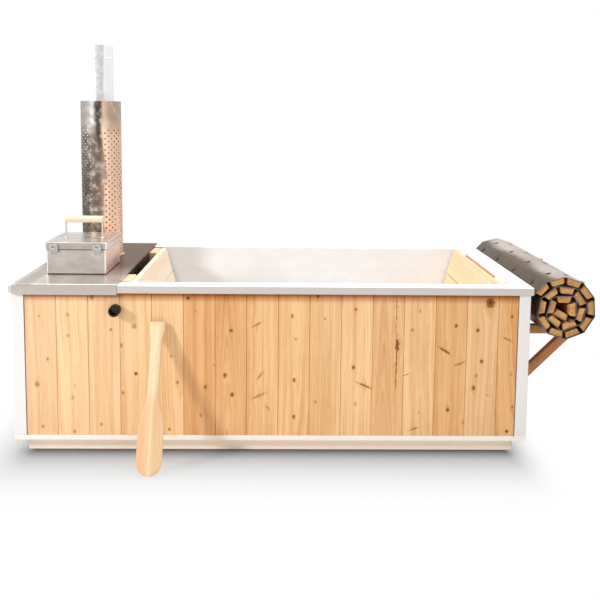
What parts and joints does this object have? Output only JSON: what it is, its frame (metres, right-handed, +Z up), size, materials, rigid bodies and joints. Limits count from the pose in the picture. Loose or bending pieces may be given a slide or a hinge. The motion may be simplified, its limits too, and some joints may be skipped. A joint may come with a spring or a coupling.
{
  "type": "wood-burning hot tub",
  "caption": "Rectangular cedar-clad hot tub with a submerged wood stove, steel counter with latched fuel hatch, guarded flue, leaning backrests, roll-up slatted cover and paddle",
  "frame": {"origin": "middle of the tub's base, on the ground", "axes": "+X along the tub to the right, away from the stove; -Y to the front; +Z up"},
  "size_m": [2.5155, 1.493, 1.72],
  "materials": {
    "white_coat": "smooth white powder coat",
    "cedar": "planed cedar, oiled, with knots",
    "pine": "planed pale softwood",
    "red_cedar": "sawn red cedar",
    "brushed_steel": "brushed stainless steel",
    "guard_steel": "stainless sheet with a warm heat tint",
    "flue_steel": "bright rolled flue pipe",
    "stove_metal": "welded plate, dull",
    "grate_iron": "raw casting",
    "seal_rubber": "matt black rubber",
    "cover_sheet": "grey-brown coated sheet",
    "black_plastic": "moulded black plastic",
    "foam": "closed-cell foam board",
    "dark_screws": "black coated screws",
    "brass": "turned brass",
    "red_lever": "dipped red grip"
  },
  "bodies": {
    "tub": {"plinth": "white_coat", "bearers": "pine", "base_panel": "pine", "bottom_rail": "white_coat", "floor_insulation": "foam", "wall_insulation": "foam", "battens": "pine", "corner_posts": "white_coat", "front_boards": "cedar", "back_boards": "cedar", "left_boards": "cedar", "right_boards": "cedar", "tank": "white_coat", "tank_floor": "white_coat", "rim": "white_coat", "counter": "brushed_steel", "counter_seal": "seal_rubber", "firebox": "stove_metal", "fire_grate": "grate_iron", "flue_pipe": "flue_steel", "guard_spacers": "brushed_steel", "heat_guard": "guard_steel", "flue_flange": "brushed_steel", "hatch_seal": "seal_rubber", "hatch_box": "brushed_steel", "lid_seal": "seal_rubber", "hinge_leaf": "brushed_steel", "hinge_pin": "brushed_steel", "latch_bases": "brushed_steel", "air_guides": "brushed_steel", "overflow_spout": "black_plastic", "overflow_gasket": "seal_rubber", "overflow_nut": "black_plastic", "fence_boards": "cedar", "fence_battens": "pine", "fence_blocks": "pine", "rest_boards": "cedar", "rest_battens": "pine", "rest_blocks": "pine", "cradle_legs": "red_cedar", "cradle_arms": "red_cedar", "cradle_braces": "red_cedar", "cradle_stops": "red_cedar", "cradle_bolts": "brushed_steel", "drain_body": "brass", "drain_strainer": "brushed_steel"},
    "lid": {"hatch_lid": "brushed_steel", "lid_keepers": "brushed_steel", "handle_posts": "brushed_steel", "handle_grip": "pine"},
    "left_clasp": {"clasp_left": "brushed_steel"},
    "right_clasp": {"clasp_right": "brushed_steel"},
    "air_damper": {"air_slide": "brushed_steel", "air_knob": "black_plastic"},
    "roll_cover": {"roll_skin": "cover_sheet", "roll_slats": "cedar", "roll_screws": "dark_screws"},
    "stirring_paddle": {"paddle": "pine"},
    "drain_valve": {"drain_ball": "flue_steel", "drain_lever": "red_lever"}
  },
  "joints": [
    {"name": "lid_hinge", "type": "hinge", "parent": "tub", "child": "lid", "pos_m": [-0.844, -0.019, 0.8143], "axis": [-1, 0, 0], "range_deg": [0, 90]},
    {"name": "left_clasp_pivot", "type": "hinge", "parent": "tub", "child": "left_clasp", "pos_m": [-0.936, -0.388, 0.7993], "axis": [1, 0, 0], "range_deg": [-8, 112]},
    {"name": "right_clasp_pivot", "type": "hinge", "parent": "tub", "child": "right_clasp", "pos_m": [-0.752, -0.388, 0.7993], "axis": [1, 0, 0], "range_deg": [-8, 112]},
    {"name": "damper_slide", "type": "slide", "parent": "tub", "child": "air_damper", "axis": [0, 1, 0], "range_m": [0, 0.024]},
    {"name": "roll_lift", "type": "slide", "parent": "tub", "child": "roll_cover", "axis": [0, 0, 1], "range_m": [0, 0.23]},
    {"name": "paddle_pull", "type": "slide", "parent": "tub", "child": "stirring_paddle", "axis": [0, -1, 0], "range_m": [0, 0.3]},
    {"name": "drain_quarter_turn", "type": "hinge", "parent": "tub", "child": "drain_valve", "pos_m": [-1.1, 0.2, 0.14], "axis": [0, 0, 1], "range_deg": [0, 90]}
  ]
}
